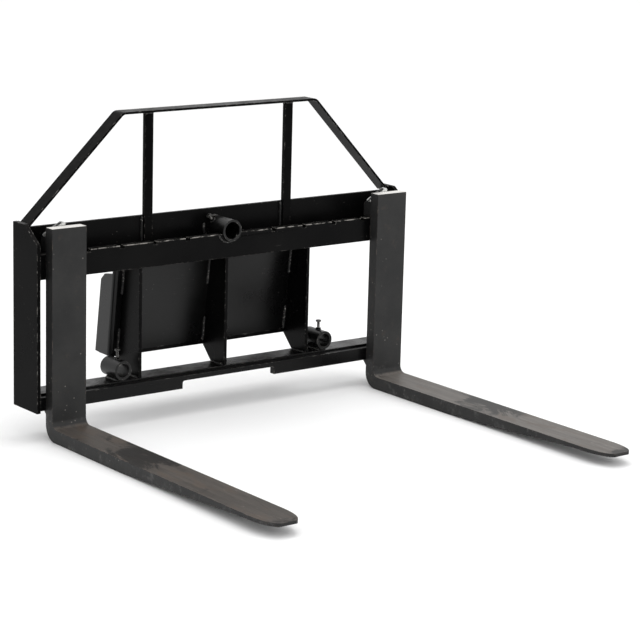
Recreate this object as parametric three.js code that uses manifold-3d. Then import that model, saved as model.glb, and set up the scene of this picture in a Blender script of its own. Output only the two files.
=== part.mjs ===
// Pallet fork attachment for a compact loader: a welded carriage frame with a bent backrest,
// three spear sleeves, a tilted quick-attach plate and two hanging forks with lock levers.
// Units are millimetres, +Z is up, the forks point along -Y and +X is to the right of the driver.

import * as THREE from 'three';
import { mergeVertices } from 'three/addons/utils/BufferGeometryUtils.js';
import Module from 'manifold-3d';

const wasm = await Module();
wasm.setup();

// Clearance left between neighbouring parts
const GAP = 0.3;

// Carriage frame: fork bars of hook class II, y = 0 is their front face
const FRAME_LEFT = -609.6;
const FRAME_RIGHT = 586.6;
const END_PLATE = 9.6;
const BAR_DEPTH = 19;
const CARRIAGE_BOTTOM = 76;
const CARRIAGE_TOP = 483;
const TOP_BAR_HEIGHT = 66;
const BOTTOM_BAR_HEIGHT = 35;
const CUTOUT_WIDTH = 300;
const CUTOUT_HEIGHT = 21.5;
const INNER_LEFT = FRAME_LEFT + END_PLATE + GAP;
const INNER_RIGHT = FRAME_RIGHT - END_PLATE - GAP;

// Lock notches in the top bar
const NOTCH_WIDTH = 13;
const NOTCH_DEPTH = 8;
const NOTCH_PITCH = 101.6;
const FIRST_NOTCH = 139.7;

// Plates behind the bars
const SHELF_TOP = 117;
const SHELF_THICKNESS = 9.5;
const SHELF_REAR = 85;
const TIE_BOTTOM = 422;
const TIE_THICKNESS = 8;
const TIE_REAR = 100;
const REAR_PLATE_FRONT = 71;
const REAR_PLATE_THICKNESS = 10;
const REAR_PLATE_TOP = 541.3;

// Ribs and tilted quick-attach plate
const RIB_SPACING = 273;
const RIB_THICKNESS = 9.5;
const ATTACH_HALF_WIDTH = 305;
const ATTACH_BOTTOM = 156;
const ATTACH_FOOT_Y = 123;
const ATTACH_SLOPE = -0.125;
const ATTACH_SHEET = 8;
const LIP_TOP = 166;

// Backrest
const HOOP_TOP = 818;
const HOOP_STRIP = 6;
const HOOP_FRONT = 50;
const HOOP_DEPTH = 45;
const HOOP_SHOULDER = 311;
const POST_X = 225;
const POST_WIDTH = 25.4;
const POST_FRONT = 58.7;
const POST_BOTTOM = 468;

// Spear sleeves and their clamp bolts
const CENTRE_SLEEVE = { radius: 29.5, bore: 23.5, z: 490, boltY: 60, boltLean: -45, boltLength: 19.7 };
const LOWER_SLEEVE = { radius: 25.5, bore: 18.5, z: 147, boltY: 41, boltLean: 0, boltLength: 28 };
const LOWER_SLEEVE_X = 330;
const BOLT_RADIUS = 4;
const NUT_ACROSS_FLATS = 13;

// Forks
const FORK_CENTRE = 520.7;
const FORK_WIDTH = 100;
const SHANK_THICKNESS = 32;
const SHANK_TOP = 551;
const BLADE_THICKNESS = 35;
const TIP_THICKNESS = 9;
const TIP_Y = -975;
const TAPER_START = -350;
const TAPER_END = -850;
const HOOK_WIDTH = 76;
const HOOK_REAR = 45;

// Fork lock
const LOCK_OFFSET = -25.4;
const LOCK_Y = 10;
const LOCK_PIN_RADIUS = 5;
const LEVER_PIVOT_Z = 538;
const LEVER_ANGLE = Math.PI / 6;

const FLANGE_REAR = 190;
const ORIGIN_SHIFT_X = -(FRAME_LEFT + FRAME_RIGHT) / 2;
const ORIGIN_SHIFT_Y = -(TIP_Y + FLANGE_REAR) / 2;

const finishes = {
  framePaint: { color: 0x141415, roughness: 0.38, metalness: 0.25 },
  forkPaint: { color: 0x343434, roughness: 0.6, metalness: 0.35 },
  zinc: { color: 0xb9bbb8, roughness: 0.35, metalness: 0.9 },
  bareBolt: { color: 0x6c6b68, roughness: 0.45, metalness: 0.85 },
};

const attachment = new THREE.Group();
attachment.name = 'pallet_fork_attachment';
attachment.position.set(ORIGIN_SHIFT_X, ORIGIN_SHIFT_Y, 0);

function addPart(parent, name, geometry, finish) {
  const material = new THREE.MeshStandardMaterial(finishes[finish]);
  const mesh = new THREE.Mesh(geometry, material);
  mesh.name = name;
  parent.add(mesh);
  return mesh;
}

// Closed outline from [u, v] pairs
function outline(points) {
  return new THREE.Shape(points.map(([u, v]) => new THREE.Vector2(u, v)));
}

// Outline in X and Z, extruded along +Y from yFront
function extrudeAlongY(shape, yFront, depth, segments = 12) {
  const geometry = new THREE.ExtrudeGeometry(shape, {
    depth,
    bevelEnabled: false,
    curveSegments: segments,
  });
  geometry.rotateX(Math.PI / 2);
  geometry.translate(0, yFront + depth, 0);
  return geometry;
}

// Outline in Y and Z, extruded along +X from xStart
function extrudeAlongX(shape, xStart, width, segments = 12) {
  const geometry = new THREE.ExtrudeGeometry(shape, {
    depth: width,
    bevelEnabled: false,
    curveSegments: segments,
  });
  geometry.rotateZ(Math.PI / 2);
  geometry.rotateY(Math.PI / 2);
  geometry.translate(xStart, 0, 0);
  return geometry;
}

// Outline in X and Y, extruded along +Z from zBottom
function extrudeAlongZ(shape, zBottom, height, segments = 12) {
  const geometry = new THREE.ExtrudeGeometry(shape, {
    depth: height,
    bevelEnabled: false,
    curveSegments: segments,
  });
  geometry.translate(0, 0, zBottom);
  return geometry;
}

function box(xMin, xMax, yMin, yMax, zMin, zMax) {
  const geometry = new THREE.BoxGeometry(xMax - xMin, yMax - yMin, zMax - zMin);
  geometry.translate((xMin + xMax) / 2, (yMin + yMax) / 2, (zMin + zMax) / 2);
  return geometry;
}

function uprightCylinder(radius, x, y, zBottom, zTop, segments = 32) {
  const geometry = new THREE.CylinderGeometry(radius, radius, zTop - zBottom, segments);
  geometry.rotateX(Math.PI / 2);
  geometry.translate(x, y, (zBottom + zTop) / 2);
  return geometry;
}

function toSolid(geometry) {
  const bare = geometry.clone();
  bare.deleteAttribute('normal');
  bare.deleteAttribute('uv');
  const merged = mergeVertices(bare, 1e-4);
  return new wasm.Manifold(new wasm.Mesh({
    numProp: 3,
    vertProperties: new Float32Array(merged.attributes.position.array),
    triVerts: new Uint32Array(merged.index.array),
  }));
}

function toGeometry(solid) {
  const mesh = solid.getMesh();
  const geometry = new THREE.BufferGeometry();
  geometry.setAttribute('position', new THREE.BufferAttribute(mesh.vertProperties, 3));
  geometry.setIndex(new THREE.BufferAttribute(mesh.triVerts, 1));
  geometry.computeVertexNormals();
  return geometry;
}

function cut(geometry, ...tools) {
  let solid = toSolid(geometry);
  for (const tool of tools) {
    solid = solid.subtract(toSolid(tool));
  }
  return toGeometry(solid);
}

function join(geometry, ...others) {
  let solid = toSolid(geometry);
  for (const other of others) {
    solid = solid.add(toSolid(other));
  }
  return toGeometry(solid);
}

function common(first, second) {
  return toGeometry(toSolid(first).intersect(toSolid(second)));
}

// Rounds every corner of a closed polygon; radii holds one radius per corner
function roundedOutline(points, radii) {
  const shape = new THREE.Shape();
  const count = points.length;
  points.forEach(([u, v], index) => {
    const before = points[(index + count - 1) % count];
    const after = points[(index + 1) % count];
    const corner = new THREE.Vector2(u, v);
    const toBefore = new THREE.Vector2(before[0] - u, before[1] - v).normalize();
    const toAfter = new THREE.Vector2(after[0] - u, after[1] - v).normalize();
    const halfAngle = Math.acos(THREE.MathUtils.clamp(toBefore.dot(toAfter), -1, 1)) / 2;
    const reach = radii[index] / Math.tan(halfAngle);
    const entry = corner.clone().addScaledVector(toBefore, reach);
    const exit = corner.clone().addScaledVector(toAfter, reach);
    if (index === 0) {
      shape.moveTo(entry.x, entry.y);
    } else {
      shape.lineTo(entry.x, entry.y);
    }
    if (radii[index] > 0) {
      const middle = toBefore.clone().add(toAfter).normalize();
      const centre = corner.clone().addScaledVector(middle, radii[index] / Math.sin(halfAngle));
      const turn = toBefore.x * toAfter.y - toBefore.y * toAfter.x;
      const startAngle = Math.atan2(entry.y - centre.y, entry.x - centre.x);
      const endAngle = Math.atan2(exit.y - centre.y, exit.x - centre.x);
      shape.absarc(centre.x, centre.y, radii[index], startAngle, endAngle, turn > 0);
    }
  });
  shape.closePath();
  return shape;
}

// Front face of the quick-attach plate at a given height
function attachFront(z) {
  return ATTACH_FOOT_Y + ATTACH_SLOPE * (z - ATTACH_BOTTOM);
}

// Lock notch centres, left to right. The last one lets the same-handed right fork lock
// at the mirror image of the left fork's outer place.
function notchCentres() {
  const centres = [];
  for (let index = 0; index < 5; index += 1) {
    centres.push(-FIRST_NOTCH - index * NOTCH_PITCH);
  }
  for (let index = 0; index < 4; index += 1) {
    centres.push(FIRST_NOTCH + index * NOTCH_PITCH);
  }
  centres.push(FORK_CENTRE + LOCK_OFFSET);
  return centres.sort((a, b) => a - b);
}

// Top bar with its lock notches and the saddle for the centre sleeve
function topBar() {
  const shape = new THREE.Shape();
  const bottom = CARRIAGE_TOP - TOP_BAR_HEIGHT;
  const saddleZ = CENTRE_SLEEVE.z;
  const saddleRadius = CENTRE_SLEEVE.radius + GAP;
  const rise = CARRIAGE_TOP - saddleZ;
  const halfSaddle = Math.sqrt(saddleRadius ** 2 - rise ** 2);
  const centres = notchCentres();
  shape.moveTo(INNER_LEFT, bottom);
  shape.lineTo(INNER_LEFT, CARRIAGE_TOP);
  let saddleDone = false;
  for (const x of centres) {
    if (x > 0 && !saddleDone) {
      const startAngle = Math.atan2(rise, -halfSaddle);
      const endAngle = Math.atan2(rise, halfSaddle);
      shape.lineTo(-halfSaddle, CARRIAGE_TOP);
      shape.absarc(0, saddleZ, saddleRadius, startAngle, endAngle, false);
      saddleDone = true;
    }
    shape.lineTo(x - NOTCH_WIDTH / 2, CARRIAGE_TOP);
    shape.lineTo(x - NOTCH_WIDTH / 2, CARRIAGE_TOP - NOTCH_DEPTH);
    shape.lineTo(x + NOTCH_WIDTH / 2, CARRIAGE_TOP - NOTCH_DEPTH);
    shape.lineTo(x + NOTCH_WIDTH / 2, CARRIAGE_TOP);
  }
  shape.lineTo(INNER_RIGHT, CARRIAGE_TOP);
  shape.lineTo(INNER_RIGHT, bottom);
  shape.closePath();
  return extrudeAlongY(shape, 0, BAR_DEPTH, 16);
}

// Bottom bar with the wide cut-out that lets the forks' lower hooks come off
function bottomBar() {
  const top = CARRIAGE_BOTTOM + BOTTOM_BAR_HEIGHT;
  const roof = CARRIAGE_BOTTOM + CUTOUT_HEIGHT;
  const half = CUTOUT_WIDTH / 2;
  const shape = roundedOutline([
    [INNER_LEFT, CARRIAGE_BOTTOM],
    [-half, CARRIAGE_BOTTOM],
    [-half, roof],
    [half, roof],
    [half, CARRIAGE_BOTTOM],
    [INNER_RIGHT, CARRIAGE_BOTTOM],
    [INNER_RIGHT, top],
    [INNER_LEFT, top],
  ], [0, 0, 6, 6, 0, 0, 0, 0]);
  return extrudeAlongY(shape, 0, BAR_DEPTH, 6);
}

// Upright end plate with a sloping corner above its front edge
function endPlate(xStart, front) {
  const shape = roundedOutline([
    [front, 77],
    [95, 77],
    [95, 556],
    [38, 556],
    [front, 556 - (38 - front) * 0.726],
  ], [2, 2, 3, 12, 12]);
  return extrudeAlongX(shape, xStart, END_PLATE, 6);
}

function rib(xCentre) {
  const foot = SHELF_TOP + GAP;
  const head = TIE_BOTTOM - GAP;
  const shape = outline([
    [BAR_DEPTH + GAP, foot],
    [82, foot],
    [attachFront(ATTACH_BOTTOM) - GAP, ATTACH_BOTTOM + 2],
    [attachFront(head) - GAP, head],
    [BAR_DEPTH + GAP, head],
  ]);
  return extrudeAlongX(shape, xCentre - RIB_THICKNESS / 2, RIB_THICKNESS);
}

// Tilted sheet with both sides bent rearward; the side view trims the flanges
function attachPlate() {
  const half = ATTACH_HALF_WIDTH;
  const reach = 110;
  const channel = roundedOutline([
    [-half, 0],
    [half, 0],
    [half, reach],
    [half - ATTACH_SHEET, reach],
    [half - ATTACH_SHEET, ATTACH_SHEET],
    [-half + ATTACH_SHEET, ATTACH_SHEET],
    [-half + ATTACH_SHEET, reach],
    [-half, reach],
  ], [12, 12, 0, 0, 4, 4, 0, 0]);
  const sheet = extrudeAlongZ(channel, -40, 360, 6);
  sheet.rotateX(Math.atan(-ATTACH_SLOPE));
  sheet.translate(0, ATTACH_FOOT_Y, ATTACH_BOTTOM);
  const top = TIE_BOTTOM - GAP;
  const sideView = outline([
    [60, ATTACH_BOTTOM],
    [FLANGE_REAR, ATTACH_BOTTOM + 6],
    [163, 362],
    [145, 379],
    [attachFront(382) + ATTACH_SHEET + 4, 385],
    [attachFront(top) + ATTACH_SHEET + 4, top],
    [60, top],
  ]);
  const trimmed = common(sheet, extrudeAlongX(sideView, -400, 800));
  const lipRoom = box(-half + ATTACH_SHEET, half - ATTACH_SHEET, 100, 200, 100, LIP_TOP + GAP);
  return cut(trimmed, lipRoom);
}

// Hook lip behind the tie plate, over the top edge of the quick-attach plate
function topLip() {
  const top = TIE_BOTTOM + TIE_THICKNESS;
  const root = TIE_REAR + GAP;
  const shape = outline([
    [root, TIE_BOTTOM],
    [root + 34, TIE_BOTTOM],
    [root + 42, TIE_BOTTOM - 24],
    [root + 52, TIE_BOTTOM - 24],
    [root + 46, top - 8],
    [root + 38, top],
    [root, top],
  ]);
  return extrudeAlongX(shape, -280, 560);
}

// Bottom lip under the quick-attach plate, with two slots for the loader's locking wedges
function bottomLip() {
  const half = ATTACH_HALF_WIDTH - ATTACH_SHEET - GAP;
  const plate = box(-half, half, ATTACH_FOOT_Y, FLANGE_REAR - 4, ATTACH_BOTTOM, LIP_TOP);
  const slots = [-180, 180].map((x) => box(x - 26, x + 26, 148, 170, 100, 200));
  return cut(plate, ...slots);
}

// Flat strip bent at two shoulders, standing on the rear plate's top edge
function backrestHoop() {
  const foot = REAR_PLATE_TOP + GAP;
  const drop = HOOP_TOP - foot;
  const inner = HOOP_TOP - HOOP_STRIP;
  const steps = [-INNER_LEFT, INNER_RIGHT].map((reach) => {
    const run = reach - HOOP_SHOULDER;
    const length = Math.hypot(run, drop);
    return { foot: HOOP_STRIP * length / drop, inset: HOOP_STRIP * (length - run) / drop };
  });
  const shape = roundedOutline([
    [INNER_LEFT, foot],
    [INNER_LEFT + steps[0].foot, foot],
    [-HOOP_SHOULDER + steps[0].inset, inner],
    [HOOP_SHOULDER - steps[1].inset, inner],
    [INNER_RIGHT - steps[1].foot, foot],
    [INNER_RIGHT, foot],
    [HOOP_SHOULDER, HOOP_TOP],
    [-HOOP_SHOULDER, HOOP_TOP],
  ], [0, 0, 16, 16, 0, 0, 22, 22]);
  return extrudeAlongY(shape, HOOP_FRONT, HOOP_DEPTH, 8);
}

// Turns a bolt or nut about its sleeve's axis; degrees lean it towards +X
function leanAbout(geometry, { x, z, boltLean }) {
  geometry.translate(-x, 0, -z);
  geometry.rotateY(THREE.MathUtils.degToRad(boltLean));
  geometry.translate(x, 0, z);
  return geometry;
}

// Tube for a bale spear with a hole for its clamp bolt
function spearSleeve(sleeve) {
  const { x, z, radius, bore, front, rear, boltY } = sleeve;
  const shape = new THREE.Shape();
  shape.absarc(x, z, radius, 0, 2 * Math.PI, false);
  const inside = new THREE.Path();
  inside.absarc(x, z, bore, 0, 2 * Math.PI, true);
  shape.holes.push(inside);
  const tube = extrudeAlongY(shape, front, rear - front, 48);
  const hole = uprightCylinder(BOLT_RADIUS + GAP, x, boltY, z, z + radius + 5);
  return cut(tube, leanAbout(hole, sleeve));
}

// Nut welded on the sleeve, its foot shaped to the tube
function clampNut(sleeve) {
  const { x, z, radius, boltY } = sleeve;
  const corner = NUT_ACROSS_FLATS / Math.sqrt(3);
  const top = z + radius + 5;
  const body = uprightCylinder(corner, x, boltY, z + radius - 2, top, 6);
  const tube = new THREE.CylinderGeometry(radius + GAP, radius + GAP, 60, 96);
  tube.translate(x, boltY, z);
  const hole = uprightCylinder(BOLT_RADIUS + GAP, x, boltY, z, top + 5);
  return leanAbout(cut(body, tube, hole), sleeve);
}

// Hexagon clamp bolt, its tip just short of the sleeve's bore
function clampBolt(sleeve) {
  const { x, z, bore, boltY, boltLength } = sleeve;
  const tip = z + bore + 1;
  const underHead = tip + boltLength;
  const corner = NUT_ACROSS_FLATS / Math.sqrt(3);
  const head = uprightCylinder(corner, x, boltY, underHead, underHead + 5.3, 6);
  const shank = uprightCylinder(BOLT_RADIUS, x, boltY, tip, underHead + 1);
  return leanAbout(join(head, shank), sleeve);
}

// Fork seen from the side: hanging shank, rounded heel and a blade tapering to the tip
function forkSideView() {
  const top = BLADE_THICKNESS;
  return roundedOutline([
    [0, 0],
    [0, SHANK_TOP],
    [-SHANK_THICKNESS, SHANK_TOP],
    [-SHANK_THICKNESS, top],
    [TIP_Y, top],
    [TIP_Y, top - TIP_THICKNESS],
    [TAPER_END, top - TIP_THICKNESS - 1.5],
    [TAPER_START, 0],
  ], [42, 2, 2, 20, 3, 3, 0, 0]);
}

// Fork seen from above: straight sides that round in to a blunt nose
function forkPlanView() {
  const half = FORK_WIDTH / 2;
  const noseStart = TIP_Y + 92;
  const noseHalf = 22;
  const shape = new THREE.Shape();
  shape.moveTo(-half, 10);
  shape.lineTo(-half, noseStart);
  shape.quadraticCurveTo(-half, TIP_Y + 18, -noseHalf, TIP_Y);
  shape.lineTo(noseHalf, TIP_Y);
  shape.quadraticCurveTo(half, TIP_Y + 18, half, noseStart);
  shape.lineTo(half, 10);
  shape.closePath();
  return shape;
}

function fork() {
  const side = extrudeAlongX(forkSideView(), -FORK_WIDTH / 2, FORK_WIDTH, 10);
  const plan = extrudeAlongZ(forkPlanView(), -10, SHANK_TOP + 30, 10);
  return common(side, plan);
}

// Upper hook over the top bar, bored for the lock pin
function upperHook() {
  const shape = roundedOutline([
    [GAP, CARRIAGE_TOP + 1],
    [BAR_DEPTH + 1, CARRIAGE_TOP + 1],
    [BAR_DEPTH + 1, CARRIAGE_TOP - 30],
    [HOOK_REAR, CARRIAGE_TOP - 30],
    [HOOK_REAR, CARRIAGE_TOP + 33],
    [37, CARRIAGE_TOP + 40],
    [GAP, CARRIAGE_TOP + 40],
  ], [0, 3, 3, 6, 8, 8, 0]);
  const body = extrudeAlongX(shape, -HOOK_WIDTH / 2, HOOK_WIDTH, 5);
  const hole = uprightCylinder(LOCK_PIN_RADIUS + GAP, LOCK_OFFSET, LOCK_Y, 470, 540);
  return cut(body, hole);
}

// Lower hook under the bottom bar
function lowerHook() {
  const shape = roundedOutline([
    [GAP, 50],
    [9, 50],
    [29, 69],
    [29, CARRIAGE_BOTTOM + 20],
    [BAR_DEPTH + 1, CARRIAGE_BOTTOM + 20],
    [BAR_DEPTH + 1, CARRIAGE_BOTTOM - 1],
    [GAP, CARRIAGE_BOTTOM - 1],
  ], [0, 4, 6, 3, 2, 3, 0]);
  return extrudeAlongX(shape, -HOOK_WIDTH / 2, HOOK_WIDTH, 5);
}

function lockPin() {
  const tip = CARRIAGE_TOP + 1.3;
  const top = LEVER_PIVOT_Z + 7;
  const body = uprightCylinder(LOCK_PIN_RADIUS, LOCK_OFFSET, LOCK_Y, tip, top);
  const hole = new THREE.CylinderGeometry(2.8, 2.8, 20, 24);
  hole.translate(LOCK_OFFSET, LOCK_Y, LEVER_PIVOT_Z);
  return cut(body, hole);
}

// Forked lever: two cheeks either side of the lock pin, bridged at the finger end
function lockLever() {
  const length = 38;
  const tail = 26;
  const cheek = 3;
  const outer = 8.8;
  const plan = outline([
    [-tail, -outer],
    [length, -outer],
    [length, outer],
    [-tail, outer],
    [-tail, outer - cheek],
    [length - 6, outer - cheek],
    [length - 6, -outer + cheek],
    [-tail, -outer + cheek],
  ]);
  const band = extrudeAlongZ(plan, -12, 24);
  const sideView = roundedOutline([
    [-tail, -3.5],
    [length, -4.5],
    [length, 5],
    [-tail, 5],
  ], [3, 3, 3, 3]);
  const slab = extrudeAlongY(sideView, -15, 30, 6);
  const hole = new THREE.CylinderGeometry(2.7, 2.7, 40, 24);
  return cut(common(band, slab), hole);
}

function leverPin() {
  const geometry = new THREE.CylinderGeometry(2.5, 2.5, 18.6, 24);
  geometry.translate(LOCK_OFFSET, LOCK_Y, LEVER_PIVOT_Z);
  return geometry;
}

// Frame
const frame = new THREE.Group();
frame.name = 'frame';
attachment.add(frame);

addPart(frame, 'top_fork_bar', topBar(), 'framePaint');
addPart(frame, 'bottom_fork_bar', bottomBar(), 'framePaint');
addPart(frame, 'left_end_plate', endPlate(FRAME_LEFT, -24), 'framePaint');
addPart(frame, 'right_end_plate', endPlate(FRAME_RIGHT - END_PLATE, -12), 'framePaint');

// Shelf with a pad under each lower sleeve
const padTop = LOWER_SLEEVE.z - LOWER_SLEEVE.radius - GAP;
const pads = [-LOWER_SLEEVE_X, LOWER_SLEEVE_X].map(
  (x) => box(x - 9, x + 9, 24, 80, SHELF_TOP - 2, padTop),
);
const shelf = box(
  INNER_LEFT, INNER_RIGHT,
  BAR_DEPTH + GAP, SHELF_REAR,
  SHELF_TOP - SHELF_THICKNESS, SHELF_TOP,
);
addPart(frame, 'bottom_shelf_plate', join(shelf, ...pads), 'framePaint');

const tie = box(
  INNER_LEFT, INNER_RIGHT,
  BAR_DEPTH + GAP, TIE_REAR,
  TIE_BOTTOM, TIE_BOTTOM + TIE_THICKNESS,
);
addPart(frame, 'top_tie_plate', tie, 'framePaint');

const rearPlate = box(
  INNER_LEFT, INNER_RIGHT,
  REAR_PLATE_FRONT, REAR_PLATE_FRONT + REAR_PLATE_THICKNESS,
  TIE_BOTTOM + TIE_THICKNESS + GAP, REAR_PLATE_TOP,
);
addPart(frame, 'top_rear_plate', rearPlate, 'framePaint');

const ribPlaces = { left_rib: -RIB_SPACING, centre_rib: 0, right_rib: RIB_SPACING };
for (const [name, x] of Object.entries(ribPlaces)) {
  addPart(frame, name, rib(x), 'framePaint');
}

addPart(frame, 'quick_attach_plate', attachPlate(), 'framePaint');
addPart(frame, 'quick_attach_top_lip', topLip(), 'framePaint');
addPart(frame, 'quick_attach_bottom_lip', bottomLip(), 'framePaint');
addPart(frame, 'backrest_hoop', backrestHoop(), 'framePaint');

for (const [side, x] of [['left', -POST_X], ['right', POST_X]]) {
  const post = box(
    x - POST_WIDTH / 2, x + POST_WIDTH / 2,
    POST_FRONT, REAR_PLATE_FRONT - GAP,
    POST_BOTTOM, HOOP_TOP - HOOP_STRIP - GAP,
  );
  addPart(frame, `${side}_backrest_post`, post, 'framePaint');
}

const sleeves = [
  { side: 'centre', x: 0, front: -4, rear: REAR_PLATE_FRONT - GAP, ...CENTRE_SLEEVE },
  { side: 'left', x: -LOWER_SLEEVE_X, front: 12, rear: 84, ...LOWER_SLEEVE },
  { side: 'right', x: LOWER_SLEEVE_X, front: 12, rear: 84, ...LOWER_SLEEVE },
];
for (const sleeve of sleeves) {
  addPart(frame, `${sleeve.side}_spear_sleeve`, spearSleeve(sleeve), 'framePaint');
  addPart(frame, `${sleeve.side}_clamp_nut`, clampNut(sleeve), 'framePaint');
  addPart(frame, `${sleeve.side}_clamp_bolt`, clampBolt(sleeve), 'bareBolt');
}

// Forks with their hooks and locks, built about the fork's centre line
for (const [side, x] of [['left', -FORK_CENTRE], ['right', FORK_CENTRE]]) {
  const forkGroup = new THREE.Group();
  forkGroup.name = `${side}_fork_set`;
  forkGroup.position.x = x;
  attachment.add(forkGroup);
  addPart(forkGroup, `${side}_fork`, fork(), 'forkPaint');
  addPart(forkGroup, `${side}_upper_hook`, upperHook(), 'forkPaint');
  addPart(forkGroup, `${side}_lower_hook`, lowerHook(), 'forkPaint');
  addPart(forkGroup, `${side}_lock_pin`, lockPin(), 'zinc');
  addPart(forkGroup, `${side}_lever_pin`, leverPin(), 'zinc');
  const lever = addPart(forkGroup, `${side}_lock_lever`, lockLever(), 'zinc');
  lever.position.set(LOCK_OFFSET, LOCK_Y, LEVER_PIVOT_Z);
  lever.rotation.y = -LEVER_ANGLE;
}

export default attachment;
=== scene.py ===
# Looks of the pallet fork attachment: worn paints, weld beads, threaded bolts, camera and light.
# Everything is in metres in the row frame; the forks point along -Y and +Z is up.

import math
import random

import bpy
from mathutils import Matrix, Vector


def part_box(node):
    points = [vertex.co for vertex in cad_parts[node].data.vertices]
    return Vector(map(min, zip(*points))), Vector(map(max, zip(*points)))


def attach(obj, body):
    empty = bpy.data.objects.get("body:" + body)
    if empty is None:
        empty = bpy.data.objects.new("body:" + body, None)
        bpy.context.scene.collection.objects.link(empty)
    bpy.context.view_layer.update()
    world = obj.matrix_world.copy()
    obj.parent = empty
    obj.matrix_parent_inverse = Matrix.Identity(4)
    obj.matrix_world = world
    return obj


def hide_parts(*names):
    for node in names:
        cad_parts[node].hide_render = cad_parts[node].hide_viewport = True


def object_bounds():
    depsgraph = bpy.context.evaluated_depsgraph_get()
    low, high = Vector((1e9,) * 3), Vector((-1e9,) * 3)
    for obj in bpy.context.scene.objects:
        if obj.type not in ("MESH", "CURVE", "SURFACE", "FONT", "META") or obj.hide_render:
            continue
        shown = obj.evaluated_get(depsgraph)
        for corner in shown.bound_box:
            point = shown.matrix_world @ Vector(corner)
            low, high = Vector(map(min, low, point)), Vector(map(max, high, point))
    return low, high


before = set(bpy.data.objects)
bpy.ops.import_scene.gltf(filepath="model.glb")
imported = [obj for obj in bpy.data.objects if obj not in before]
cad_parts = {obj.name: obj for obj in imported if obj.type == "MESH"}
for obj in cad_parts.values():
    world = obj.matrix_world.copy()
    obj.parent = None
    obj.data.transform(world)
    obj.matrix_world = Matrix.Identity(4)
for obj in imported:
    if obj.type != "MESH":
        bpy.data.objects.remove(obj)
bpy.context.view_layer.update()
scene = bpy.context.scene
rng = random.Random(7)

SIDES = (("left", -1), ("right", 1))
WELD_GAP = 0.0003
LEVER_CLEARANCE = 0.037
SHARP_ANGLE = math.radians(32)

# clamp bolts: hexagon size, head height, shank radius, thread, lean from upright in degrees
NUT_ACROSS_FLATS = 0.013
BOLT_HEAD = 0.0053
BOLT_SHANK = 0.004
THREAD_PITCH = 0.00125
THREAD_DEPTH = 0.00058
THREAD_LEAD_IN = 0.0016
BOLT_LEAN = {"centre": -45, "left": 0, "right": 0}


# ---------------------------------------------------------------- camera

CAMERA_PLACE = Vector((-3.5190, -4.5792, 1.6422))
CAMERA_AZIMUTH = math.radians(-37.64)
CAMERA_ELEVATION = math.radians(12.85)
CAMERA_ROLL = math.radians(1.5)
CAMERA_LENS = 131.3


def make_camera():
    data = bpy.data.cameras.new("camera")
    data.lens = CAMERA_LENS
    data.sensor_width = 36
    camera = bpy.data.objects.new("camera", data)
    scene.collection.objects.link(camera)
    back = Vector((
        math.sin(CAMERA_AZIMUTH) * math.cos(CAMERA_ELEVATION),
        -math.cos(CAMERA_AZIMUTH) * math.cos(CAMERA_ELEVATION),
        math.sin(CAMERA_ELEVATION),
    ))
    right = (-back).cross(Vector((0, 0, 1))).normalized()
    up = right.cross(-back)
    turn = Matrix.Rotation(CAMERA_ROLL, 3, back)
    right = turn @ right
    up = turn @ up
    rotation = Matrix((right, up, back)).transposed()
    camera.matrix_world = Matrix.Translation(CAMERA_PLACE) @ rotation.to_4x4()
    scene.camera = camera


# ---------------------------------------------------------------- shader graph helper

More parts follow.
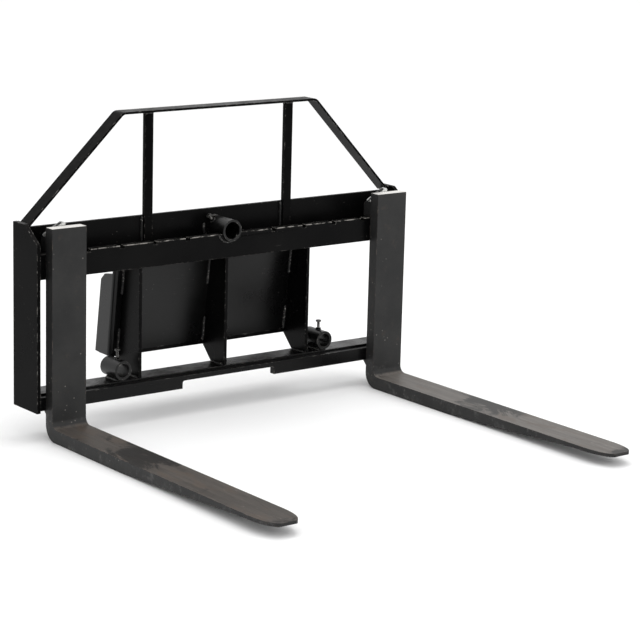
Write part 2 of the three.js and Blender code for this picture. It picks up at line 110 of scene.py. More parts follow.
class Graph:
    """Short names for the shader nodes that the materials share."""

    def __init__(self, name):
        self.material = bpy.data.materials.new(name)
        self.material.use_nodes = True
        self.tree = self.material.node_tree
        self.tree.nodes.clear()
        self.output = self.tree.nodes.new("ShaderNodeOutputMaterial")
        self.shader = self.tree.nodes.new("ShaderNodeBsdfPrincipled")
        self.tree.links.new(self.shader.outputs[0], self.output.inputs["Surface"])
        coordinates = self.tree.nodes.new("ShaderNodeTexCoord")
        self.place = coordinates.outputs["Object"]
        self.geometry = self.tree.nodes.new("ShaderNodeNewGeometry")

    def link(self, value, socket):
        if isinstance(value, (int, float, tuple)):
            socket.default_value = value
        else:
            self.tree.links.new(value, socket)

    def math(self, operation, a, b=0.0, clamp=False):
        node = self.tree.nodes.new("ShaderNodeMath")
        node.operation = operation
        node.use_clamp = clamp
        self.link(a, node.inputs[0])
        self.link(b, node.inputs[1])
        return node.outputs[0]

    def stretch(self, scale):
        node = self.tree.nodes.new("ShaderNodeVectorMath")
        node.operation = "MULTIPLY"
        self.link(self.place, node.inputs[0])
        node.inputs[1].default_value = scale
        return node.outputs[0]

    def noise(self, scale, detail=4.0, roughness=0.55, vector=None, distortion=0.0):
        node = self.tree.nodes.new("ShaderNodeTexNoise")
        node.inputs["Scale"].default_value = scale
        node.inputs["Detail"].default_value = detail
        node.inputs["Roughness"].default_value = roughness
        node.inputs["Distortion"].default_value = distortion
        self.link(self.place if vector is None else vector, node.inputs["Vector"])
        return node.outputs["Fac"]

    def cells(self, scale):
        node = self.tree.nodes.new("ShaderNodeTexVoronoi")
        node.inputs["Scale"].default_value = scale
        self.link(self.place, node.inputs["Vector"])
        return node.outputs["Distance"]

    def step(self, value, low, high):
        """0 below low, 1 above high; low may be the larger one."""
        node = self.tree.nodes.new("ShaderNodeMapRange")
        node.interpolation_type = "SMOOTHSTEP"
        node.inputs["From Min"].default_value = low
        node.inputs["From Max"].default_value = high
        self.link(value, node.inputs["Value"])
        return node.outputs["Result"]

    def mix(self, amount, a, b):
        node = self.tree.nodes.new("ShaderNodeMix")
        node.data_type = "RGBA"
        self.link(amount, node.inputs["Factor"])
        self.link(a, node.inputs["A"])
        self.link(b, node.inputs["B"])
        return node.outputs["Result"]

    def blend(self, amount, a, b):
        node = self.tree.nodes.new("ShaderNodeMix")
        node.data_type = "FLOAT"
        self.link(amount, node.inputs["Factor"])
        self.link(a, node.inputs["A"])
        self.link(b, node.inputs["B"])
        return node.outputs["Result"]

    def part(self, vector, axis):
        node = self.tree.nodes.new("ShaderNodeSeparateXYZ")
        self.link(vector, node.inputs[0])
        return node.outputs[axis]

    def edge(self, radius):
        """1 on sharp edges, 0 on flat faces."""
        bevel = self.tree.nodes.new("ShaderNodeBevel")
        bevel.samples = 4
        bevel.inputs["Radius"].default_value = radius
        dot = self.tree.nodes.new("ShaderNodeVectorMath")
        dot.operation = "DOT_PRODUCT"
        self.link(bevel.outputs[0], dot.inputs[0])
        self.link(self.geometry.outputs["True Normal"], dot.inputs[1])
        return self.step(dot.outputs["Value"], 0.995, 0.80)

    def bump(self, height, strength, distance):
        node = self.tree.nodes.new("ShaderNodeBump")
        node.inputs["Strength"].default_value = strength
        node.inputs["Distance"].default_value = distance
        self.link(height, node.inputs["Height"])
        return node.outputs[0]

    def finish(self, colour, roughness, metallic, normal):
        self.link(colour, self.shader.inputs["Base Color"])
        self.link(roughness, self.shader.inputs["Roughness"])
        self.link(metallic, self.shader.inputs["Metallic"])
        self.link(normal, self.shader.inputs["Normal"])
        return self.material


# ---------------------------------------------------------------- materials

def frame_paint(name, wear=0.5, highlight_line_z=None, ior=1.22):
    """Semi-gloss black paint with orange peel, dust, fine scratches and chipped edges.
    The third argument is the height of a top edge with a painted highlight: a band of light dashes just below
    it."""
    g = Graph(name)
    g.shader.inputs["IOR"].default_value = ior
    cloud = g.noise(5, 5)
    fine = g.noise(140, 3)
    colour = g.mix(g.step(cloud, 0.35, 0.7), (0.0012, 0.0012, 0.0013, 1), (0.0034, 0.0033, 0.0033, 1))
    dusty_up = g.step(g.part(g.geometry.outputs["Normal"], "Z"), 0.35, 1.0)
    dust = g.math("MULTIPLY", dusty_up, g.step(g.noise(38, 6, 0.7), 0.4, 0.85))
    colour = g.mix(g.math("MULTIPLY", dust, 0.14), colour, (0.13, 0.12, 0.11, 1))
    scratch_field = g.noise(1.0, 3, 0.6, g.stretch((22, 150, 360)), 0.3)
    scratches = g.math("MULTIPLY", g.step(scratch_field, 0.69, 0.73), 0.45)
    scratches = g.math("MULTIPLY", scratches, g.step(g.noise(7, 2), 0.5, 0.62))
    spots = g.step(g.cells(110), 0.13, 0.07)
    spots = g.math("MULTIPLY", spots, g.step(g.noise(14, 3), 0.58, 0.66))
    break_up = g.step(g.noise(90, 6, 0.75), 0.60 - 0.12 * wear, 0.64)
    chips = g.math("MULTIPLY", g.edge(0.0034), break_up)
    # painted highlight: light dashes in a band just below the given edge height, merged into the chip mask so
    # they take the light steel colour
    if highlight_line_z is not None:
        z = g.part(g.place, "Z")
        band = g.math("MULTIPLY", g.step(z, highlight_line_z - 0.0032, highlight_line_z - 0.0016),
                      g.step(g.part(g.geometry.outputs["Normal"], "Z"), 0.97, 0.8))
        dashes = g.step(g.noise(1.0, 6, 0.75, g.stretch((38, 160, 160))), 0.47, 0.53)
        chips = g.math("MAXIMUM", chips, g.math("MULTIPLY", band, dashes))
    # the light colour here covers chipped edges and spots, and also the painted highlight dashes along the
    # top edge
    bare_and_highlight = g.math("MAXIMUM", g.math("MULTIPLY", chips, 0.8), g.math("MULTIPLY", spots, 0.35), True)
    colour = g.mix(scratches, colour, (0.07, 0.068, 0.066, 1))
    colour = g.mix(bare_and_highlight, colour, (0.30, 0.285, 0.265, 1))
    roughness = g.blend(g.step(cloud, 0.3, 0.75), 0.25, 0.38)
    roughness = g.math("ADD", roughness, g.math("MULTIPLY", dust, 0.3), True)
    peel = g.noise(520, 2)
    height = g.math("ADD", g.math("MULTIPLY", peel, 0.5), g.math("MULTIPLY", fine, 0.5))
    height = g.math("SUBTRACT", height, g.math("MULTIPLY", bare_and_highlight, 0.8))
    return g.finish(colour, roughness, g.math("MULTIPLY", bare_and_highlight, 0.4), g.bump(height, 0.25, 0.0006))


def weld_metal(name):
    """Painted weld bead with spatter; its bright specks are painted highlights (glints) put into the colour.
    """
    g = Graph(name)
    g.shader.inputs["Specular IOR Level"].default_value = 0.3
    grain = g.noise(260, 4)
    colour = g.mix(g.step(grain, 0.5, 0.75), (0.006, 0.006, 0.006, 1), (0.03, 0.029, 0.028, 1))
    # painted highlights: bright glint specks painted into the bead's colour
    painted_glints = g.step(g.noise(210, 4, 0.7), 0.56, 0.64)
    painted_glints = g.math("MULTIPLY", painted_glints, g.step(g.noise(30, 3), 0.36, 0.56))
    colour = g.mix(g.math("MULTIPLY", painted_glints, 0.8), colour, (0.42, 0.40, 0.37, 1))
    roughness = g.blend(grain, 0.25, 0.5)
    return g.finish(colour, roughness, g.math("MULTIPLY", painted_glints, 0.4), g.bump(grain, 0.5, 0.0005))


def fork_paint(name, pale, smudge_y):
    """Charcoal forging: rubbed brown-grey blade top, rusty chipped edges, sawn bright shank end."""
    g = Graph(name)
    g.shader.inputs["Specular IOR Level"].default_value = 0.22
    z = g.part(g.place, "Z")
    y = g.part(g.place, "Y")
    up = g.part(g.geometry.outputs["Normal"], "Z")
    mottle = g.noise(9, 6, 0.6)
    grain = g.noise(210, 4, 0.6)
    colour = g.mix(g.step(mottle, 0.3, 0.72), (0.012, 0.0121, 0.0123, 1), (0.022, 0.0217, 0.0212, 1))
    rust_field = g.step(g.noise(34, 6, 0.7), 0.56, 0.72)
    rust = g.math("MULTIPLY", rust_field, 0.35)
    colour = g.mix(rust, colour, (0.050, 0.036, 0.028, 1))

    # rubbed top of the blade, with long streaks and dark smudges
    top = g.math("MULTIPLY", g.step(up, 0.6, 0.93), g.step(z, 0.3, 0.06))
    streaks = g.noise(1.0, 5, 0.65, g.stretch((95, 5, 95)), 0.6)
    patches = g.noise(1.0, 5, 0.65, g.stretch((26, 9, 26)), 0.4)
    worn = g.mix(g.step(streaks, 0.32, 0.68), tuple(0.62 * c for c in pale[:3]) + (1,), pale)
    brown = g.math("MULTIPLY", g.step(patches, 0.5, 0.62), 0.5)
    worn = g.mix(brown, worn, (0.085, 0.064, 0.050, 1))
    far = g.math("ABSOLUTE", g.math("SUBTRACT", y, smudge_y))
    near_smudge = g.step(far, 0.17, 0.02)
    near_tip = g.step(y, -0.535, -0.565)
    smudge_field = g.noise(1.0, 6, 0.7, g.stretch((15, 8, 15)), 0.9)
    smudge_field = g.math("ADD", smudge_field, g.math("MULTIPLY", near_smudge, 0.19))
    smudge_field = g.math("ADD", smudge_field, g.math("MULTIPLY", near_tip, 0.17))
    smudges = g.math("MULTIPLY", g.step(smudge_field, 0.58, 0.68), 0.85)
    worn = g.mix(smudges, worn, (0.010, 0.0097, 0.0096, 1))
    rub = g.noise(1.0, 6, 0.7, g.stretch((60, 14, 60)), 1.2)
    rubbed = g.math("MULTIPLY", g.step(rub, 0.60, 0.68), g.step(y, -0.15, -0.35))
    worn = g.mix(g.math("MULTIPLY", rubbed, 0.6), worn, tuple(2.2 * c for c in pale[:3]) + (1,))
    cover = g.math("MULTIPLY", top, g.step(g.noise(55, 6, 0.75), 0.14, 0.34))
    colour = g.mix(cover, colour, worn)

    # chipped and rusty edges
    chips = g.math("MULTIPLY", g.edge(0.004), g.step(g.noise(60, 6, 0.75), 0.52, 0.62))
    colour = g.mix(g.math("MULTIPLY", chips, 0.7), colour, (0.15, 0.12, 0.10, 1))
    knocks = g.math("MULTIPLY", g.step(g.cells(70), 0.16, 0.08), g.step(g.noise(13, 3), 0.52, 0.6))
    colour = g.mix(g.math("MULTIPLY", knocks, 0.6), colour, (0.20, 0.185, 0.17, 1))
    hazy = g.math("MULTIPLY", g.step(g.noise(24, 6, 0.72), 0.52, 0.70), g.step(up, 0.5, 0.2))
    hazy = g.math("MULTIPLY", hazy, g.step(z, 0.12, 0.03))
    colour = g.mix(g.math("MULTIPLY", hazy, 0.40), colour, (0.12, 0.118, 0.114, 1))

    # sawn steel end of the shank; the same mask also gives the up-facing tops of the hooks above about 0.5 m
    # this bright colour
    sawn = g.math("MULTIPLY", g.step(up, 0.8, 0.97), g.step(z, 0.5, 0.53))
    lines = g.noise(1.0, 3, 0.6, g.stretch((20, 900, 20)))
    saw_colour = g.mix(lines, (0.50, 0.485, 0.46, 1), (0.82, 0.80, 0.775, 1))
    colour = g.mix(sawn, colour, saw_colour)

    roughness = g.blend(cover, g.blend(mottle, 0.42, 0.6), g.blend(streaks, 0.42, 0.6))
    roughness = g.blend(sawn, roughness, 0.42)
    metallic = g.math("MULTIPLY", sawn, 0.35)
    scale = g.noise(85, 5, 0.6)
    height = g.math("ADD", g.math("MULTIPLY", scale, 0.9), g.math("MULTIPLY", grain, 0.35))
    height = g.math("SUBTRACT", height, g.math("MULTIPLY", chips, 0.8))
    return g.finish(colour, roughness, metallic, g.bump(height, 0.42, 0.0008))


def zinc_plate(name):
    """Bright zinc with a soft brushed grain and dull spots."""
    g = Graph(name)
    grain = g.noise(1.0, 3, 0.6, g.stretch((160, 1200, 700)))
    blotch = g.noise(120, 4)
    colour = g.mix(grain, (0.46, 0.465, 0.46, 1), (0.68, 0.685, 0.67, 1))
    dull = g.step(blotch, 0.5, 0.72)
    colour = g.mix(g.math("MULTIPLY", dull, 0.45), colour, (0.25, 0.24, 0.22, 1))
    roughness = g.blend(dull, 0.26, 0.5)
    return g.finish(colour, roughness, 0.9, g.bump(grain, 0.2, 0.0002))


def bolt_steel(name):
    """Dark oiled steel with brighter rubbed corners."""
    g = Graph(name)
    grain = g.noise(400, 4)
    colour = g.mix(grain, (0.035, 0.034, 0.033, 1), (0.075, 0.073, 0.07, 1))
    colour = g.mix(g.math("MULTIPLY", g.edge(0.0007), 0.8), colour, (0.42, 0.41, 0.39, 1))
    return g.finish(colour, g.blend(grain, 0.3, 0.48), 0.85, g.bump(grain, 0.25, 0.0002))


# ---------------------------------------------------------------- CAD nodes

def smooth_group():
    """Geometry nodes: smooth faces, sharp where an edge turns by more than SHARP_ANGLE."""
    group = bpy.data.node_groups.new("smooth_by_angle", "GeometryNodeTree")
    group.interface.new_socket("Geometry", in_out="INPUT", socket_type="NodeSocketGeometry")
    group.interface.new_socket("Geometry", in_out="OUTPUT", socket_type="NodeSocketGeometry")
    nodes = group.nodes
    source = nodes.new("NodeGroupInput")
    target = nodes.new("NodeGroupOutput")
    faces = nodes.new("GeometryNodeSetShadeSmooth")
    edges = nodes.new("GeometryNodeSetShadeSmooth")
    edges.domain = "EDGE"
    angle = nodes.new("GeometryNodeInputMeshEdgeAngle")
    flat = nodes.new("FunctionNodeCompare")
    flat.data_type = "FLOAT"
    flat.operation = "LESS_EQUAL"
    flat.inputs["B"].default_value = SHARP_ANGLE
    links = group.links
    links.new(source.outputs[0], faces.inputs["Geometry"])
    links.new(faces.outputs[0], edges.inputs["Geometry"])
    links.new(angle.outputs["Unsigned Angle"], flat.inputs["A"])
    links.new(flat.outputs[0], edges.inputs["Shade Smooth"])
    links.new(edges.outputs[0], target.inputs[0])
    return group


def dress(node, material, bevel=0.0012, segments=2):
    """Gives a CAD node its material and rounded edges; its own mesh stays as it is."""
    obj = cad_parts[node]
    obj.data.materials.clear()
    obj.data.materials.append(material)
    if "custom_normal" in obj.data.attributes:
        obj.data.attributes.remove(obj.data.attributes["custom_normal"])
    weld = obj.modifiers.new("weld", "WELD")
    weld.merge_threshold = 0.00002
    if bevel:
        rounding = obj.modifiers.new("rounding", "BEVEL")
        rounding.width = bevel
        rounding.segments = segments
        rounding.limit_method = "ANGLE"
        rounding.angle_limit = SHARP_ANGLE
        rounding.use_clamp_overlap = True
    smooth = obj.modifiers.new("smooth", "NODES")
    smooth.node_group = SMOOTH
    weighted = obj.modifiers.new("weighted", "WEIGHTED_NORMAL")
    weighted.keep_sharp = True
    weighted.weight = 90


def add_mesh(name, vertices, faces, material, body, smooth=True):
    mesh = bpy.data.meshes.new(name)
    mesh.from_pydata([tuple(v) for v in vertices], [], faces)
    mesh.validate()
    mesh.materials.append(material)
    mesh.polygons.foreach_set("use_smooth", [smooth] * len(mesh.polygons))
    obj = bpy.data.objects.new(name, mesh)
    scene.collection.objects.link(obj)
    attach(obj, body)
    return obj


# ---------------------------------------------------------------- weld beads

class Welds:
    """Collects the weld beads of one body into one mesh."""

    PITCH = 0.0032
    ARC = 6

    def __init__(self):
        self.vertices = []
        self.faces = []

    def bead(self, start, end, side_a, side_b, leg=0.005):
        """Straight fillet from start to end in the corner between two faces."""
        start, end = Vector(start), Vector(end)
        count = max(4, round((end - start).length / (self.PITCH / 3)))
        path = [start.lerp(end, i / count) for i in range(count + 1)]
        self.run(path, [Vector(side_a)] * len(path), [Vector(side_b)] * len(path), leg)

    def ring(self, centre, radius, axis_u, axis_v, out, leg, angles=(0, 360)):
        """Fillet round a tube that meets a flat face; out points away from the face."""
        first, last = (math.radians(a) for a in angles)
        count = max(12, round(abs(last - first) * radius / (self.PITCH / 3)))
        path, outward = [], []
        for i in range(count + 1):
            angle = first + (last - first) * i / count
            ray = Vector(axis_u) * math.cos(angle) + Vector(axis_v) * math.sin(angle)
            path.append(Vector(centre) + ray * radius)
            outward.append(ray)
        self.run(path, outward, [Vector(out)] * len(path), leg)

    def run(self, path, sides_a, sides_b, leg):
        first = len(self.vertices)
        travelled = 0.0
        phase = rng.uniform(0, math.pi)
        last = len(path) - 1
        rings = self.ARC + 2
        for i, (point, a, b) in enumerate(zip(path, sides_a, sides_b)):
            if i:
                travelled += (point - path[i - 1]).length
            along = (path[min(i + 1, last)] - path[max(i - 1, 0)]).normalized()
            ripple = abs(math.sin(math.pi * travelled / self.PITCH + phase))
            size = leg * (0.80 + 0.13 * ripple + rng.uniform(-0.02, 0.02))
            taper = min(1.0, 0.35 + 0.65 * min(i, last - i) / 3)
            self.vertices.append(point - (a + b) * 0.0004)
            for k in range(self.ARC + 1):
                turn = 0.5 * math.pi * k / self.ARC
                lag = -along * self.PITCH * 0.35 * math.sin(2 * turn)
                ray = a * math.cos(turn) + b * math.sin(turn)
                self.vertices.append(point + ray * size * taper + lag * taper)
        for i in range(last):
            for k in range(rings):
                a0 = first + i * rings + k
                a1 = first + i * rings + (k + 1) % rings
                self.faces.append((a0, a1, a1 + rings, a0 + rings))
        self.faces.append(tuple(first + k for k in reversed(range(rings))))
        end = first + last * rings
        self.faces.append(tuple(end + k for k in range(rings)))

    def spatter(self, centre, spread, count):
        """A few small beads of spatter near a weld."""
        for _ in range(count):
            place = Vector(centre) + Vector([rng.uniform(-s, s) for s in spread])
            size = rng.uniform(0.0004, 0.0009)
            first = len(self.vertices)
            for step in ((1, 0, 0), (0, 1, 0), (-1, 0, 0), (0, -1, 0), (0, 0, 1), (0, 0, -1)):
                self.vertices.append(place + Vector(step) * size)
            for k in range(4):
                n = (k + 1) % 4
                self.faces.append((first + k, first + n, first + 4))
                self.faces.append((first + n, first + k, first + 5))

    def make(self, name, material, body, slot):
        return add_mesh(name, self.vertices, self.faces, material, body)


def frame_welds():
    welds = Welds()
    top_bar, bottom_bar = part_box("top_fork_bar"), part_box("bottom_fork_bar")
    rear, tie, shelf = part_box("top_rear_plate"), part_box("top_tie_plate"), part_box("bottom_shelf_plate")
    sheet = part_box("quick_attach_plate")
    shelf_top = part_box("centre_rib")[0].z - WELD_GAP

    # both bars, the shelf and the rear plate against the end plates
    for side, sign in SIDES:
        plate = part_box(f"{side}_end_plate")
        wall = plate[1].x if sign < 0 else plate[0].x
        inward = (-sign, 0, 0)
        for bar in (top_bar, bottom_bar):
            for y, out in ((bar[0].y, -1), (bar[1].y, 1)):
                low, high = bar[0].z + 0.004, bar[1].z - 0.004
                welds.bead((wall, y, low), (wall, y, high), inward, (0, out, 0), 0.006)
        for y, out in ((rear[0].y, -1), (rear[1].y, 1)):
            low, high = rear[0].z + 0.004, rear[1].z - 0.012
            welds.bead((wall, y, low), (wall, y, high), inward, (0, out, 0), 0.006)
        low, high = shelf[0].y + 0.004, shelf[1].y - 0.004
        welds.bead((wall, low, shelf_top), (wall, high, shelf_top), inward, (0, 0, 1), 0.006)
        welds.bead((wall, low, shelf[0].z), (wall, high, shelf[0].z), inward, (0, 0, -1), 0.006)
        low, high = tie[0].y + 0.004, tie[1].y - 0.004
        welds.bead((wall, low, tie[0].z), (wall, high, tie[0].z), inward, (0, 0, -1), 0.005)

        # foot of the backrest against the end plate and the rear plate
        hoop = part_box("backrest_hoop")
        groove_z = plate[1].z - 0.009
        lean = Vector((-sign * 0.55, 0, 0.83))
        welds.bead((wall, hoop[0].y + 0.002, groove_z), (wall, hoop[1].y - 0.002, groove_z),
                   lean, (0, 0, 1), 0.008)
        foot_x = wall - sign * 0.009
        welds.bead((foot_x, rear[0].y, hoop[0].z), (foot_x, rear[1].y, hoop[0].z), inward, (0, 0, 1), 0.005)
        for y, out in ((rear[0].y, -1), (rear[1].y, 1)):
            welds.bead((wall, y, hoop[0].z), (foot_x, y, hoop[0].z), (0, 0, 1), (0, out, 0), 0.005)

    # ribs against the tilted plate, the shelf and the top bar
    foot = Vector((0, sheet[0].y, sheet[1].z))
    sole = Vector((0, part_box("centre_rib")[1].y, sheet[0].z))
    slope = (foot - sole).normalized()
    outward = Vector((0, -slope.z, slope.y))
    stitches = ((0.03, 0.29), (0.64, 0.93))
    for name in ("left_rib", "centre_rib", "right_rib"):
        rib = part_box(name)
        for x, way in ((rib[0].x, -1), (rib[1].x, 1)):
            base = Vector((x, rib[1].y, sheet[0].z))
            length = (rib[1].z - sheet[0].z) / slope.z
            for begin, stop in stitches:
                welds.bead(base + slope * length * begin, base + slope * length * stop,
                           (way, 0, 0), outward, 0.0055)
            welds.bead((x, rib[0].y + 0.004, rib[0].z), (x, rib[1].y - 0.044, rib[0].z),
                       (way, 0, 0), (0, 0, 1), 0.0055)
            welds.bead((x, rib[0].y, top_bar[0].z - 0.001), (x, rib[0].y, rib[1].z - 0.001),
                       (way, 0, 0), (0, 1, 0), 0.005)
            welds.bead((x, rib[0].y + 0.004, rib[1].z), (x, rib[1].y - 0.050, rib[1].z),
                       (way, 0, 0), (0, 0, -1), 0.005)
            welds.spatter((x + way * 0.009, rib[1].y - 0.03, rib[0].z + 0.004), (0.006, 0.03, 0.001), 5)

    # stitches along the back: shelf to bar, rear plate to tie plate, lips to the tilted plate
    top_lip, low_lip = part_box("quick_attach_top_lip"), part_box("quick_attach_bottom_lip")
    for k in range(9):
        x = -0.56 + k * 0.14
        welds.bead((x - 0.025, shelf[0].y, shelf[0].z), (x + 0.025, shelf[0].y, shelf[0].z),
                   (0, 1, 0), (0, 0, -1), 0.005)
        welds.bead((x - 0.025, rear[1].y, tie[1].z), (x + 0.025, rear[1].y, tie[1].z),
                   (0, 1, 0), (0, 0, 1), 0.005)
        welds.bead((x - 0.025, tie[0].y, tie[0].z), (x + 0.025, tie[0].y, tie[0].z),
                   (0, 1, 0), (0, 0, -1), 0.0045)
    middle = (low_lip[0].x + low_lip[1].x) / 2
    lip_root = low_lip[0].y + 0.0068
    for k in range(5):
        x = middle - 0.22 + k * 0.11
        welds.bead((x - 0.022, lip_root, low_lip[1].z), (x + 0.022, lip_root, low_lip[1].z),
                   (0, 1, 0), (0, 0, 1), 0.005)
        welds.bead((x - 0.022, top_lip[0].y, tie[1].z - 0.0005), (x + 0.022, top_lip[0].y, tie[1].z - 0.0005),
                   (0, 1, 0), (0, 0, 1), 0.004)
        welds.bead((x - 0.022, tie[1].y - 0.002, tie[0].z), (x + 0.022, tie[1].y - 0.002, tie[0].z),
                   (0, 1, 0), (0, 0, -1), 0.004)
    for x, way in ((low_lip[0].x, 1), (low_lip[1].x, -1)):
        welds.bead((x, low_lip[0].y + 0.016, low_lip[1].z), (x, low_lip[1].y - 0.006, low_lip[1].z),
                   (way, 0, 0), (0, 0, 1), 0.005)

    # backrest posts
    for side, sign in SIDES:
        post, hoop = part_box(f"{side}_backrest_post"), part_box("backrest_hoop")
        for x, way in ((post[0].x, -1), (post[1].x, 1)):
            welds.bead((x, rear[0].y, post[0].z + 0.004), (x, rear[0].y, rear[1].z - 0.002),
                       (way, 0, 0), (0, -1, 0), 0.0055)
            welds.bead((x, post[0].y + 0.001, post[1].z), (x, post[1].y, post[1].z),
                       (way, 0, 0), (0, 0, -1), 0.004)
        welds.bead((post[0].x, post[0].y, post[1].z), (post[1].x, post[0].y, post[1].z),
                   (0, -1, 0), (0, 0, -1), 0.0045)

    # spear sleeves and their nuts
    for side in ("left", "right", "centre"):
        tube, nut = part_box(f"{side}_spear_sleeve"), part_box(f"{side}_clamp_nut")
        middle = (tube[0] + tube[1]) / 2
        radius = (tube[1].x - tube[0].x) / 2
        if side == "centre":
            # half a ring on the saddle of the top bar
            welds.ring((0, top_bar[0].y, middle.z), radius, (1, 0, 0), (0, 0, 1), (0, -1, 0), 0.0045,
                       (200, 340))
            # the ring stops either side of the bolt
            welds.ring((0, rear[0].y, middle.z), radius, (1, 0, 0), (0, 0, 1), (0, -1, 0), 0.006,
                       (155, 475))
        else:
            for way in (-1, 1):
                x = middle.x + way * radius * 0.36
                welds.bead((x, tube[0].y + 0.012, shelf_top), (x, tube[1].y - 0.005, shelf_top),
                           (way, 0, 0), (0, 0, 1), 0.0075)
        lean = math.radians(BOLT_LEAN[side])
        out = Vector((math.sin(lean), 0, math.cos(lean)))
        foot = Vector((middle.x, (nut[0].y + nut[1].y) / 2, middle.z)) + out * (radius - 0.0006)
        across = (math.cos(lean), 0, -math.sin(lean))
        welds.ring(foot, NUT_ACROSS_FLATS * 0.49, across, (0, 1, 0), out, 0.0022)
    return welds


def hook_welds(side):
    welds = Welds()
    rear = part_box(f"{side}_fork")[1].y
    for name, edge_z, way_z in ((f"{side}_upper_hook", 1, 1), (f"{side}_lower_hook", 0, -1)):
        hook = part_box(name)
        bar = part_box("top_fork_bar" if way_z > 0 else "bottom_fork_bar")
        low, high = (bar[1].z + 0.004, hook[1].z) if way_z > 0 else (hook[0].z, bar[0].z - 0.004)
        for x, way in ((hook[0].x, -1), (hook[1].x, 1)):
            welds.bead((x, rear, low), (x, rear, high), (way, 0, 0), (0, 1, 0), 0.006)
        z = hook[edge_z].z
        # the bead on the upper hook starts beside the lowered lever
        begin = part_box(f"{side}_lock_pin")[1].x + LEVER_CLEARANCE if way_z > 0 else hook[0].x
        welds.bead((begin, rear, z), (hook[1].x, rear, z), (0, 0, way_z), (0, 1, 0), 0.006)
    return welds


# ---------------------------------------------------------------- bolts

def hexagon_reach(angle, across_flats):
    """Distance from the centre to a hexagon's side, flats facing -X and +X."""
    sector = (angle + math.pi / 6) % (math.pi / 3) - math.pi / 6
    return across_flats / 2 / math.cos(sector)


def clamp_bolt(side, material):
    """Hexagon bolt with a washer face, chamfered head and a helical thread,
    leaning about its sleeve's axis."""
    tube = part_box(f"{side}_spear_sleeve")
    centre = (tube[0] + tube[1]) / 2
    turn = Matrix.Translation(centre) @ Matrix.Rotation(math.radians(BOLT_LEAN[side]), 4, "Y")
    turn = turn @ Matrix.Translation(-centre)
    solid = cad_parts[f"{side}_clamp_bolt"]
    points = [turn.inverted() @ solid.matrix_world @ v.co for v in solid.data.vertices]
    low = Vector([min(p[i] for p in points) for i in range(3)])
    high = Vector([max(p[i] for p in points) for i in range(3)])
    middle = (low + high) / 2
    across_flats = high.x - low.x
    length = high.z - low.z - BOLT_HEAD
    around = 48
    levels = []
    count = round(length / (THREAD_PITCH / 5))
    for i in range(count + 1):
        levels.append(("thread", low.z + length * i / count))
    head_low = high.z - BOLT_HEAD

    # height above the head's underside, and reach as a share of the width across flats
    profile = (
        (0.0, 0.46), (0.0, 0.47), (0.0003, 0.475), (0.00035, 0.60),
        (0.0009, 0.60), (0.0038, 0.60), (0.0048, 0.51),
        (BOLT_HEAD - 0.0001, 0.46), (BOLT_HEAD, 0.30),
    )
    for height, reach in profile:
        levels.append(("head", head_low + height, reach * across_flats))
    vertices, faces = [], []
    for level in levels:
        z = level[1]
        for k in range(around):
            angle = 2 * math.pi * k / around
            if level[0] == "thread":
                phase = ((z - low.z) / THREAD_PITCH - k / around) % 1.0
                depth = THREAD_DEPTH * abs(2 * phase - 1)
                ending = min(1.0, (z - low.z) / THREAD_LEAD_IN)
                reach = BOLT_SHANK - depth - 0.0009 * (1 - ending)
            else:
                reach = min(level[2], hexagon_reach(angle, across_flats))
            place = (middle.x + reach * math.cos(angle), middle.y + reach * math.sin(angle), z)
            vertices.append(turn @ Vector(place))
    for i in range(len(levels) - 1):
        for k in range(around):
            n = (k + 1) % around
            faces.append((i * around + k, i * around + n, (i + 1) * around + n, (i + 1) * around + k))
    faces.append(tuple(reversed(range(around))))
    top = (len(levels) - 1) * around
    faces.append(tuple(top + k for k in range(around)))
    bolt = add_mesh(f"{side}_threaded_bolt", vertices, faces, material,
                    f"{side}_clamp_bolt_body", smooth=False)
    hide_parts(f"{side}_clamp_bolt")


# ---------------------------------------------------------------- studio

def make_floor():
    mesh = bpy.data.meshes.new("studio_floor")
    size = 30
    corners = [(-size, -size, 0), (size, -size, 0), (size, size, 0), (-size, size, 0)]
    mesh.from_pydata(corners, [], [(0, 1, 2, 3)])
    floor = bpy.data.objects.new("studio_floor", mesh)
    floor.location.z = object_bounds()[0].z - 0.0005
    g = Graph("studio_floor_paint")
    tone = g.noise(0.6, 2)
    colour = g.mix(tone, (0.90, 0.90, 0.90, 1), (0.93, 0.93, 0.93, 1))
    mesh.materials.append(g.finish(colour, 0.75, 0.0, g.bump(g.noise(300, 2), 0.02, 0.0002)))
    scene.collection.objects.link(floor)


def area_light(name, place, target, size, power):
    data = bpy.data.lights.new(name, "AREA")
    data.shape = "RECTANGLE"
    data.size, data.size_y = size
    data.energy = power
    light = bpy.data.objects.new(name, data)
    light.location = place
    light.rotation_mode = "QUATERNION"
    light.rotation_quaternion = (Vector(target) - Vector(place)).to_track_quat("-Z", "Y")
    scene.collection.objects.link(light)


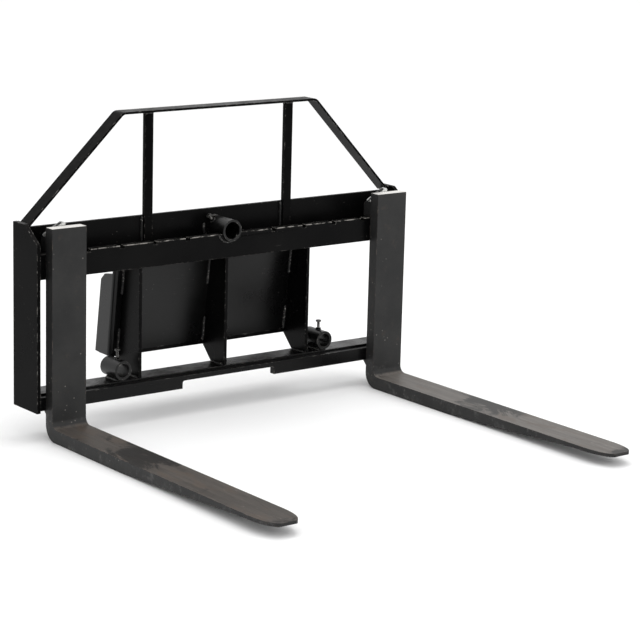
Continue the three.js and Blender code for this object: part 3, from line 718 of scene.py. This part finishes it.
def make_light():
    world = bpy.data.worlds.new("studio")
    world.use_nodes = True
    background = world.node_tree.nodes["Background"]
    background.inputs["Color"].default_value = (1, 1, 1, 1)
    background.inputs["Strength"].default_value = 1.10
    scene.world = world
    area_light("overhead", (0.5, 0.5, 3.8), (0, 0, 0), (2.6, 2.6), 42)
    area_light("front", (3.2, -3.6, 2.4), (0, 0, 0.4), (1.2, 1.6), 30)
    scene.view_settings.view_transform = "Standard"


# ---------------------------------------------------------------- assembly

SMOOTH = smooth_group()
# one black paint in copies whose IOR differs part by part, set so each part reflects more or less: lit and
# shaded copies, painted light and shade in the reflection strength
black = frame_paint("frame_black", ior=1.13)
low_black = frame_paint("low_bar_black", 0.8, ior=1.24)
tube_black = frame_paint("sleeve_black", 0.8, ior=1.34)
bar_black = frame_paint("top_bar_black", 0.9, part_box("top_fork_bar")[1].z, ior=1.14)
strip_black = frame_paint("strip_black", 0.7, ior=1.09)
sheet_black = frame_paint("sheet_black", 0.3, ior=1.36)
plate_black = frame_paint("end_plate_black", 1.0, ior=1.09)
weld_paint = weld_metal("weld_bead")
zinc = zinc_plate("zinc_bright")
oiled = bolt_steel("bolt_oiled")
fork_finish = {
    "left": fork_paint("fork_charcoal_left", (0.081, 0.071, 0.063, 1), 0.03),
    "right": fork_paint("fork_charcoal_right", (0.142, 0.130, 0.119, 1), -0.06),
}

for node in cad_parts:
    side = node.split("_")[0]
    if node.endswith("clamp_bolt"):
        continue
    if node.endswith("_fork"):
        dress(node, fork_finish[side], 0.003, 3)
    elif node.endswith("_hook"):
        dress(node, fork_finish[side], 0.002)
    elif node.endswith(("lever_pin", "lock_pin", "lock_lever")):
        dress(node, zinc, 0.0005)
    elif node.endswith("clamp_nut"):
        dress(node, black, 0.0004)
    elif node.endswith("spear_sleeve"):
        dress(node, tube_black, 0.0009)
    elif node in ("bottom_fork_bar", "bottom_shelf_plate"):
        dress(node, low_black, 0.0011)
    elif node == "top_fork_bar":
        dress(node, bar_black, 0.0013)
    elif node == "quick_attach_plate":
        dress(node, sheet_black, 0.0013)
    elif node.startswith("backrest") or node.endswith("backrest_post"):
        dress(node, strip_black, 0.0008)
    elif node.endswith("end_plate"):
        dress(node, plate_black, 0.0011)
    else:
        dress(node, black, 0.0011)

for side in BOLT_LEAN:
    clamp_bolt(side, oiled)

frame_welds().make("frame_welds", weld_paint, "frame", "frame_paint")
for side, _ in SIDES:
    hook_welds(side).make(f"{side}_hook_welds", weld_paint, f"{side}_fork_body", "fork_paint")

make_camera()
make_floor()
make_light()
